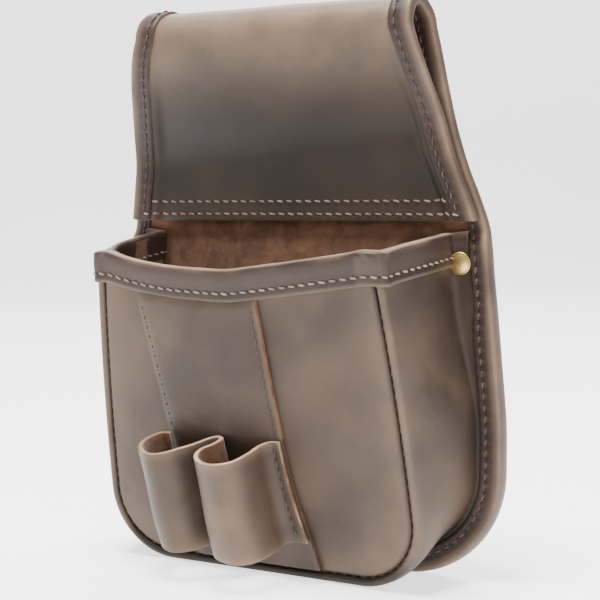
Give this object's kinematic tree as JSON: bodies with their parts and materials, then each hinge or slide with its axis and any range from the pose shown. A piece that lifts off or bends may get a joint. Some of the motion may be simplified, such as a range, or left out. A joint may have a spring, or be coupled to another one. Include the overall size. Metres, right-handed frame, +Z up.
{
  "type": "electrician tool pouch",
  "caption": "Brown leather belt pouch with a folded belt flap, a bound open pocket, brass rivets and a double tool loop.",
  "frame": {"origin": "centre of the footprint, on the surface that the pouch stands on", "axes": "+Z up towards the belt fold, +Y towards the wearer, -Y towards the front of the pocket, +X to the right seen from the front"},
  "size_m": [0.2096, 0.0868, 0.2631],
  "materials": {
    "leather": "oiled pull-up leather, satin",
    "binding_leather": "thin smooth leather, satin",
    "brass": "polished, slightly dulled",
    "thread": "waxed thread"
  },
  "bodies": {
    "root": {"back_panel": "leather", "gusset": "leather", "front_panel": "leather", "loop_backing": "leather", "tool_loop_strip": "leather", "rim_binding": "binding_leather", "edge_binding": "binding_leather", "rivet_cap_left": "brass", "rivet_cap_right": "brass", "rivet_back_left": "brass", "rivet_back_right": "brass", "thread_flap_lower": "thread", "thread_flap_upper": "thread", "thread_edge": "thread", "thread_rim": "thread", "thread_backing_left": "thread", "thread_backing_right": "thread", "thread_loop_left": "thread", "thread_loop_middle": "thread", "thread_loop_right": "thread", "thread_seam": "thread"}
  },
  "joints": []
}
